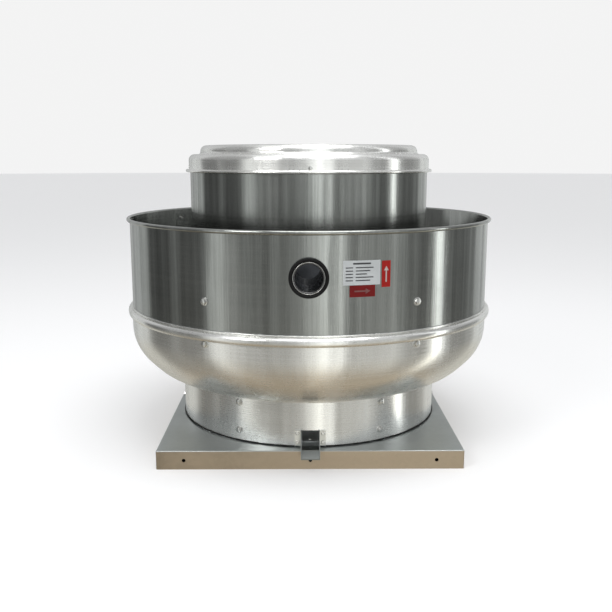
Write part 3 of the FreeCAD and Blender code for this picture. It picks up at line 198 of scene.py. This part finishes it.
def coated(name, light, dark, roughness, grain=700, bump=0.15, coat=0.0, shine=0.5):
    """Paint, plastic, rubber or printed film: a fine-grained skin with faint stains."""
    s = Shader(name)
    s.feed(s.surface, Specular_IOR_Level=shine)
    stains = s.noise(s.position, 35, 5)
    s.feed(s.surface, Base_Color=s.colours(stains, dark, light), Coat_Weight=coat)
    s.feed(s.surface, Roughness=s.spread(stains, roughness - 0.06, roughness + 0.08))
    s.feed(s.surface, Normal=s.bump(s.noise(s.position, grain, 3), bump, 0.15 * MM))
    return s.material


def backdrop_material(name, colour, glow=0.0):
    """A matt surface of that colour, which also glows a little in a neutral white."""
    s = Shader(name)
    s.feed(s.surface, Base_Color=(*colour, 1), Roughness=0.9, Specular_IOR_Level=0.0)
    s.feed(s.surface, Emission_Color=(1, 1, 1, 1), Emission_Strength=glow)
    return s.material


MATERIALS = {
    "galvanised": plated_metal("galvanised_steel", (0.62, 0.63, 0.62), (0.46, 0.48, 0.48), 0.36, 160),
    # Painted reflection: the curb cap's upright skirt is tinted warm beige and its top blue-grey.
    "curb_steel_painted_reflection": painted_light_two_tone("curb_steel_painted_reflection", (0.53, 0.435, 0.325), (0.49, 0.52, 0.515), 0.40, 2, 29 * MM, 30.5 * MM),
    # Painted shade: the grease spout's recessed channel, within 15 mm of the middle plane, is dark grey; its
    # riveted flanges stay a light plate grey.
    "spout_steel_painted_shade": painted_light_two_tone("spout_steel_painted_shade", (0.24, 0.255, 0.25), (0.74, 0.74, 0.70), 0.30, 0, 15 * MM, 15.6 * MM),
    "spun_aluminium": turned_metal(
        "spun_aluminium", (0.95, 0.95, 0.93), (0.81, 0.81, 0.78), 0.27, 0.14, 0.05, 0.90, 0.05, 0.08),
    "rolled_aluminium": turned_metal(
        "rolled_aluminium", (0.39, 0.40, 0.385), (0.285, 0.295, 0.28), 0.17, 0.05, 0.06, 0.94, 0.03, 0.34),
    "tube_aluminium": plated_metal("tube_aluminium", (0.66, 0.66, 0.64), (0.54, 0.54, 0.53), 0.24, 300, 0.03),
    # Painted shade: the aluminium conduit tube is near-black for the shade inside its bore.
    "tube_bore": plated_metal("tube_bore", (0.12, 0.12, 0.12), (0.07, 0.07, 0.07), 0.30, 300, 0.05),
    "wheel_aluminium": turned_metal(
        "wheel_aluminium", (0.62, 0.63, 0.64), (0.46, 0.47, 0.48), 0.36, 0.20, 0.05),
    "support_steel": plated_metal("support_steel", (0.60, 0.62, 0.64), (0.44, 0.46, 0.48), 0.34, 90),
    "fastener": plated_metal("zinc_plate", (0.80, 0.80, 0.78), (0.62, 0.62, 0.60), 0.24, 400, 0.05),
    "rubber": coated("black_rubber", (0.010, 0.010, 0.010), (0.005, 0.005, 0.005), 0.55, 900, 0.2, shine=0.16),
    "sealant": coated("black_sealant", (0.02, 0.02, 0.02), (0.01, 0.01, 0.01), 0.6, 500, 0.4, shine=0.2),
    "motor_paint": coated("motor_paint", (0.085, 0.09, 0.10), (0.05, 0.055, 0.06), 0.4, 500, 0.3, 0.2),
    "core_steel": plated_metal("bare_steel", (0.58, 0.58, 0.58), (0.40, 0.40, 0.41), 0.3, 300, 0.05),
    "label_white": coated("label_film", (0.50, 0.52, 0.52), (0.44, 0.46, 0.46), 0.5, 400, 0.05, shine=0.25),
    "label_red": coated("red_film", (0.36, 0.012, 0.008), (0.28, 0.008, 0.006), 0.5, 400, 0.05, shine=0.2),
    "dark_red": coated("dark_red_film", (0.17, 0.006, 0.005), (0.13, 0.004, 0.004), 0.5, 400, 0.05, shine=0.2),
    "capacitor_case": coated("capacitor_case", (0.62, 0.63, 0.64), (0.50, 0.51, 0.52), 0.35, 400, 0.1),
    "switch_plastic": coated("switch_plastic", (0.035, 0.035, 0.036), (0.02, 0.02, 0.021), 0.4, 800, 0.3),
    "conduit_grey": coated("conduit_sleeve", (0.16, 0.165, 0.17), (0.10, 0.105, 0.11), 0.5, 300, 0.3),
}
# CAD nodes whose look isn't that of their material slot. The curb cap's look holds a painted reflection, the
# grease spout's and the conduit tube's hold painted shade.
LOOKS = {
    "conduit_tube": "tube_bore", "grease_spout": "spout_steel_painted_shade", "curb_cap": "curb_steel_painted_reflection",
    "rotation_label": "dark_red",
}
PRINT_GREY = coated("print_grey", (0.05, 0.05, 0.055), (0.03, 0.03, 0.035), 0.5, 400, 0.05)
PRINT_WHITE = coated("print_white", (0.50, 0.44, 0.42), (0.42, 0.36, 0.34), 0.5, 400, 0.05, shine=0.2)
PRINT_PINK = coated("print_pink", (0.20, 0.08, 0.075), (0.15, 0.06, 0.055), 0.5, 400, 0.05, shine=0.2)


# ---------------------------------------------------------------- mesh tools


def new_piece(name, points, faces, material, body, smooth=True):
    mesh = bpy.data.meshes.new(name)
    mesh.from_pydata([tuple(p) for p in points], [], faces)
    mesh.validate()
    piece = bpy.data.objects.new(name, mesh)
    scene.collection.objects.link(piece)
    piece.data.materials.append(material)
    for polygon in mesh.polygons:
        polygon.use_smooth = smooth
    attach(piece, body)
    return piece


def grid_faces(rows, columns, close_rows=False, close_columns=False):
    """The quads of a grid of points, row by row, closed on itself where asked."""
    faces = []
    for i in range(rows if close_rows else rows - 1):
        for j in range(columns if close_columns else columns - 1):
            a, b = i * columns + j, i * columns + (j + 1) % columns
            c, d = ((i + 1) % rows) * columns + (j + 1) % columns, ((i + 1) % rows) * columns + j
            faces.append((a, b, c, d))
    return faces


def on_wall(arc, height, radius):
    """A point on the windband, arc metres to the right of the front, seen from the front."""
    angle = FRONT + arc / WALL
    return Vector((radius * math.cos(angle), radius * math.sin(angle), height))


def wall_patch(name, stations, radius, material, upright=False):
    """A thin skin on the windband. A station is (place, low, high): place runs along the wall, or up it when
    upright is set, and low and high are its edges in the other direction."""
    points = []
    for place, low, high in stations:
        for step in range(5):
            across = low + (high - low) * step / 4
            arc, height = (across, place) if upright else (place, across)
            points.append(on_wall(arc, height, radius))
    faces = grid_faces(len(stations), 5)
    if upright:
        faces = [f[::-1] for f in faces]
    return new_piece(name, points, [f[::-1] for f in faces], material, "fan_base")


def lathe(name, profile, centre, material, body, segments=96, around="y"):
    """Turns a closed profile of (radius, along) points round an axis through centre."""
    points = []
    for k in range(segments):
        turn = 2 * math.pi * k / segments
        for radius, along in profile:
            x, z = radius * math.cos(turn), radius * math.sin(turn)
            local = (x, along, z) if around == "y" else (x, z, along)
            points.append(Vector(centre) + Vector(local))
    return new_piece(name, points, grid_faces(segments, len(profile), True, True), material, body)


# ---------------------------------------------------------------- pieces


def dress_cad_nodes():
    """Gives every CAD node its material, smooth shading with crisp edges, and a small bevel on the bolts."""
    slots = {row["node"]: row["material_slot"] for row in frame["record"]["subparts"]}
    for name, node in nodes.items():
        node.data.materials.clear()
        node.data.materials.append(MATERIALS[LOOKS.get(name, slots[name])])
        weld = node.modifiers.new("weld", "WELD")
        weld.merge_threshold = WELD_GAP
        if name.endswith(("bolts", "screws")):
            bevel = node.modifiers.new("worn_edges", "BEVEL")
            bevel.width = BOLT_WEAR
            bevel.segments = 2
            bevel.limit_method = "ANGLE"
        for polygon in node.data.polygons:
            polygon.use_smooth = True
        edges = node.modifiers.new("edges", "EDGE_SPLIT")
        edges.split_angle = CREASE


def rubber_grommet():
    """The rubber ring round the conduit tube: a rolled outer lip, a groove over the sheet and an inner flange."""
    low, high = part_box("conduit_grommet")
    front = low.y + 0.1 * MM
    wall = -WALL
    centre_height = (low.z + high.z) / 2
    profile = [(24.25 * MM, front + 2.2 * MM)]
    for step in range(13):
        turn = math.pi * step / 12
        profile.append((26.9 * MM - 2.55 * MM * math.cos(turn), front + 2.1 * MM - 2.1 * MM * math.sin(turn)))
    profile += [(29.45 * MM, wall - 0.3 * MM), (26.6 * MM, wall - 0.2 * MM), (26.5 * MM, wall + 1.4 * MM),
                (29.2 * MM, wall + 1.6 * MM), (29.2 * MM, wall + 4.6 * MM), (28.0 * MM, wall + 5.6 * MM),
                (24.25 * MM, wall + 5.6 * MM)]
    centre = ((low.x + high.x) / 2, 0, centre_height)
    ring = lathe("grommet_ring", profile, centre, MATERIALS["rubber"], "fan_base")
    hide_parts("conduit_grommet")
    lip = []
    tube_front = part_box("conduit_tube")[0].y
    for step in range(14):
        turn = 2 * math.pi * step / 14
        lip.append((23.3 * MM + 0.62 * MM * math.cos(turn), tube_front + 0.4 * MM - 1.1 * MM * math.sin(turn)))
    lathe("tube_lip", lip, centre, MATERIALS["tube_aluminium"], "fan_base")


def bowl_bead():
    """A finer skin over the bowl's stiffening bead. It stands proud above and below, not outward."""
    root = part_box("bowl_shell")[1].x - BEAD_CORNER
    foot, tall = root - 0.4 * MM, BEAD_CORNER + 0.15 * MM
    flat = BEAD_HALF - BEAD_CORNER  # half of the straight stretch between the two rounded corners
    profile = [(foot, BEAD_HEIGHT + BEAD_HALF), (foot, BEAD_HEIGHT - BEAD_HALF)]
    for side in (-1, 1):
        for step in range(13):
            turn = math.radians(45 * side + 90 * step / 12 - 45)
            height = BEAD_HEIGHT + side * flat + tall * math.sin(turn)
            profile.append((root + BEAD_CORNER * math.cos(turn), height))
    metal = MATERIALS["spun_aluminium"]
    lathe("bowl_bead", profile, (0, 0, 0), metal, "fan_base", 360, around="z")


def sealant_bead():
    """The hand-laid bead round the neck: a half-round whose thickness wanders a little."""
    low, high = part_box("base_sealant")
    radius = high.x - 0.9 * MM
    spout_low, spout_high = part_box("grease_spout")
    gap = (spout_high.x - spout_low.x) / 2 + 0.8 * MM
    start = math.asin(gap / radius)
    points, rows = [], 360
    for k in range(rows + 1):
        turn = start + (2 * math.pi - 2 * start) * k / rows
        wander = math.sin(turn * 23) * 0.16 + math.sin(turn * 61 + 1) * 0.12 + math.sin(turn * 7 + 2) * 0.18
        size = (1.9 + wander) * MM
        for step in range(9):
            lift = math.radians(-30 + 150 * step / 8)
            reach = radius + size * math.cos(lift) * 0.9
            height = low.z + 0.4 * MM + size * (0.5 + 0.5 * math.sin(lift)) * 1.15
            points.append((reach * math.cos(FRONT + turn), reach * math.sin(FRONT + turn), height))
    faces = grid_faces(rows + 1, 9)
    bead = new_piece("sealant_bead", points, faces, MATERIALS["sealant"], "fan_base")
    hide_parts("base_sealant")


def rows_between(low, high, count):
    return [low + (high - low) * k / (count - 1) for k in range(count)]


def printed_labels():
    """Generic print: grey bars on the white plate and plain arrows on the red ones."""
    film = WALL + PRINT_PROUD
    high = 346 * MM  # upper edge of the white plate
    left, right = 0.0457, 0.1026  # its ends, along the wall
    bars = [(left + 0.015, right - 0.015, high - 5.8 * MM, high - 3.4 * MM)]
    for k in range(5):
        base = high - (11.2 + 4.7 * k) * MM
        bars.append((left + 0.004, left + 0.015, base, base + 1.5 * MM))
        bars.append((left + 0.019, left + (0.046 - 0.005 * (k % 3)), base, base + 1.5 * MM))
    for k, (a, b, c, d) in enumerate(bars):
        stations = [(place, c, d) for place in rows_between(a, b, 8)]
        wall_patch(f"print_bar_{k}", stations, film, PRINT_GREY)
    middle = 0.1121
    shaft = [(z, middle - 1.1 * MM, middle + 1.1 * MM) for z in rows_between(0.3130, 0.3300, 6)]
    wall_patch("arrow_up_shaft", shaft, film, PRINT_WHITE, upright=True)
    half = [(3.9 - k * 0.95) * MM for k in range(5)]
    head = [(0.3300 + k * 1.6 * MM, middle - wide, middle + wide) for k, wide in enumerate(half)]
    wall_patch("arrow_up_head", head, film, PRINT_WHITE, upright=True)
    height = 0.3010
    shaft = [(x, height - 1.2 * MM, height + 1.2 * MM) for x in rows_between(0.0630, 0.0800, 6)]
    wall_patch("arrow_side_shaft", shaft, film, PRINT_PINK)
    half = [(4.2 - k * 1.02) * MM for k in range(5)]
    head = [(0.0800 + k * 1.8 * MM, height - wide, height + wide) for k, wide in enumerate(half)]
    wall_patch("arrow_side_head", head, film, PRINT_PINK)


def motor_windings():
    """Copper end turns behind the motor's end bells."""
    s = Shader("enamelled_copper")
    strands = s.noise(s.stretch(s.position, (1, 1, 6)), 260, 3)
    s.feed(s.surface, Base_Color=s.colours(strands, (0.28, 0.09, 0.03), (0.62, 0.25, 0.09)), Metallic=0.8)
    s.feed(s.surface, Roughness=0.35, Normal=s.bump(strands, 0.6, 0.6 * MM))
    for name, height in (("winding_low", 0.2715), ("winding_high", 0.3625)):
        profile = []
        for step in range(16):
            turn = 2 * math.pi * step / 16
            profile.append((52 * MM + 9 * MM * math.cos(turn), height + 4.2 * MM * math.sin(turn)))
        lathe(name, profile, (0, 0, 0), s.material, "fan_base", 120, around="z")


# ---------------------------------------------------------------- stage


def floor_and_backdrop():
    """A plain pale floor, a pale dome that only the camera sees, and a black sheet of painted shade inside the
    curb.
    """
    pale = backdrop_material("pale_floor", (0.70, 0.70, 0.705), 0.27)
    bpy.ops.mesh.primitive_plane_add(size=60, location=(0, 0, -0.2 * MM))
    floor = bpy.context.object
    floor.name = "floor"
    floor.data.materials.append(pale)
    floor.visible_glossy = False
    bpy.ops.mesh.primitive_uv_sphere_add(segments=48, ring_count=24, radius=24)
    dome = bpy.context.object
    dome.name = "dome"
    dome.data.materials.append(backdrop_material("pale_dome", (0.0, 0.0, 0.0), 0.90))
    for ray in ("visible_glossy", "visible_diffuse", "visible_shadow", "visible_transmission"):
        setattr(dome, ray, False)
    # Painted shade: a black sheet on the floor inside the curb, so that the curb's inner faces reflect dark.
    bpy.ops.mesh.primitive_plane_add(size=0.47, location=(0, 0, -0.1 * MM))
    dark = bpy.context.object
    dark.name = "painted_shade_under_curb"
    dark.data.materials.append(backdrop_material("painted_shade_under_curb", (0.004, 0.004, 0.004)))


# The studio round the fan, by azimuth in degrees from the camera's side, positive to the right: how bright
# the white walls, the grey gaps between them and the narrow strip light are.
STUDIO = (
    (-180, 0.34), (-155, 0.42), (-131, 0.52), (-121, 0.50), (-118, 0.10), (-99, 0.08), (-93, 0.20), (-82, 0.09),
    (-68, 0.14), (-60, 0.80), (-50, 0.58), (-44, 0.30), (-34, 0.24), (-15, 0.30), (-7, 0.34), (1, 0.80),
    (10, 1.30), (18, 1.20), (23, 0.36), (33, 0.48), (43, 0.36), (55, 0.66), (62, 0.24), (74, 0.20),
    (81, 0.26), (83, 2.40), (88, 2.40), (91, 0.26), (108, 0.16), (121, 0.24), (138, 0.62), (180, 0.34),
)
STUDIO_PEAK = 2.5


def studio_world():
    """Light from all round: streaked bands by azimuth at eye level, plain bands higher up, white overhead and a
    warm mid grey below."""
    world = bpy.data.worlds.new("studio")
    scene.world = world
    world.use_nodes = True
    tree = world.node_tree
    tree.nodes.clear()

    def add(kind, **settings):
        node = tree.nodes.new(kind)
        for name, setting in settings.items():
            setattr(node, name, setting)
        return node

    direction = add("ShaderNodeTexCoord").outputs["Generated"]
    apart = add("ShaderNodeSeparateXYZ")
    tree.links.new(direction, apart.inputs[0])
    back = add("ShaderNodeMath", operation="MULTIPLY")
    back.inputs[1].default_value = -1
    tree.links.new(apart.outputs[1], back.inputs[0])
    turn = add("ShaderNodeMath", operation="ARCTAN2")
    tree.links.new(apart.outputs[0], turn.inputs[0])
    tree.links.new(back.outputs[0], turn.inputs[1])
    share = add("ShaderNodeMapRange")
    share.inputs[1].default_value = -math.pi
    share.inputs[2].default_value = math.pi
    tree.links.new(turn.outputs[0], share.inputs[0])
    ramp = add("ShaderNodeValToRGB")
    stops = ramp.color_ramp.elements
    for k, (azimuth, level) in enumerate(STUDIO):
        place = (azimuth + 180) / 360
        stop = stops[k] if k < 2 else stops.new(place)
        stop.position = place
        stop.color = (*[level / STUDIO_PEAK] * 3, 1)
    tree.links.new(share.outputs[0], ramp.inputs[0])
    streaks = add("ShaderNodeTexNoise", noise_dimensions="1D")
    streaks.inputs["Scale"].default_value = 62
    streaks.inputs["Detail"].default_value = 6
    streaks.inputs["Roughness"].default_value = 0.62
    tree.links.new(share.outputs[0], streaks.inputs["W"])
    depth = add("ShaderNodeMapRange")
    for socket, given in zip(depth.inputs[1:5], (0.3, 0.7, 0.45 * STUDIO_PEAK, 1.6 * STUDIO_PEAK)):
        socket.default_value = given
    tree.links.new(streaks.outputs["Fac"], depth.inputs[0])
    bands = add("ShaderNodeVectorMath", operation="MULTIPLY")
    tree.links.new(ramp.outputs[0], bands.inputs[0])
    tree.links.new(depth.outputs[0], bands.inputs[1])

    def blend(first, second, low, high):
        """first at heights up to low, second from high; heights are the direction's Z."""
        how = add("ShaderNodeMapRange", interpolation_type="SMOOTHSTEP")
        how.inputs[1].default_value = low
        how.inputs[2].default_value = high
        tree.links.new(apart.outputs[2], how.inputs[0])
        mix = add("ShaderNodeMix", data_type="RGBA")
        tree.links.new(how.outputs[0], mix.inputs[0])
        for socket, given in ((mix.inputs[6], first), (mix.inputs[7], second)):
            if isinstance(given, tuple):
                socket.default_value = (*given, 1)
            else:
                tree.links.new(given, socket)
        return mix.outputs[2]

    def lifted(gain, base, source=bands):
        """The bands, stronger or weaker, over an even light."""
        node = add("ShaderNodeVectorMath", operation="MULTIPLY_ADD")
        tree.links.new(source.outputs[0], node.inputs[0])
        node.inputs[1].default_value = gain
        node.inputs[2].default_value = base
        return node.outputs[0]

    floor_side = lifted((0.24, 0.21, 0.16), (0.30, 0.25, 0.185))
    table = lifted((0.76, 0.75, 0.68), (0.19, 0.18, 0.16))
    level = lifted((1.06, 1.09, 1.08), (0.03, 0.03, 0.03))
    high = lifted([share * STUDIO_PEAK for share in (0.58, 0.59, 0.60)], (0.32, 0.32, 0.325), ramp)
    colour = blend(floor_side, table, -0.86, -0.52)
    colour = blend(colour, level, -0.36, -0.20)
    colour = blend(colour, high, 0.0, 0.35)
    colour = blend(colour, (0.95, 0.96, 0.97), 0.72, 0.95)
    light = add("ShaderNodeBackground")
    tree.links.new(colour, light.inputs[0])
    light.inputs[1].default_value = 1.0
    out = add("ShaderNodeOutputWorld")
    tree.links.new(light.outputs[0], out.inputs[0])


def area_light(name, place, target, size, power):
    lamp = bpy.data.lights.new(name, "AREA")
    lamp.shape = "DISK"
    lamp.size = size
    lamp.energy = power
    light = bpy.data.objects.new(name, lamp)
    light.location = place
    light.rotation_euler = (Vector(target) - Vector(place)).to_track_quat("-Z", "Y").to_euler()
    scene.collection.objects.link(light)


def camera():
    data = bpy.data.cameras.new("camera")
    data.lens = 45.51
    data.sensor_width = 36
    eye = bpy.data.objects.new("camera", data)
    eye.location = (-0.01733, -1.41947, 0.49241)
    eye.rotation_euler = (math.radians(90 - 10.892), 0, math.radians(-0.506))
    scene.collection.objects.link(eye)
    scene.camera = eye


camera()
studio_world()
# The last lamp is inside the motor compartment, which shows through the conduit tube.
area_light("overhead", (0.2, -0.5, 2.4), (0, 0, 0.4), 1.6, 24)
area_light("key", (-1.6, -1.8, 2.0), (0, 0, 0.3), 1.0, 18)
area_light("compartment", (0.05, -0.16, 0.42), (0, 0.12, 0.30), 0.05, 0.22)
floor_and_backdrop()
dress_cad_nodes()
rubber_grommet()
bowl_bead()
sealant_bead()
printed_labels()
motor_windings()
scene.view_settings.view_transform = "Standard"
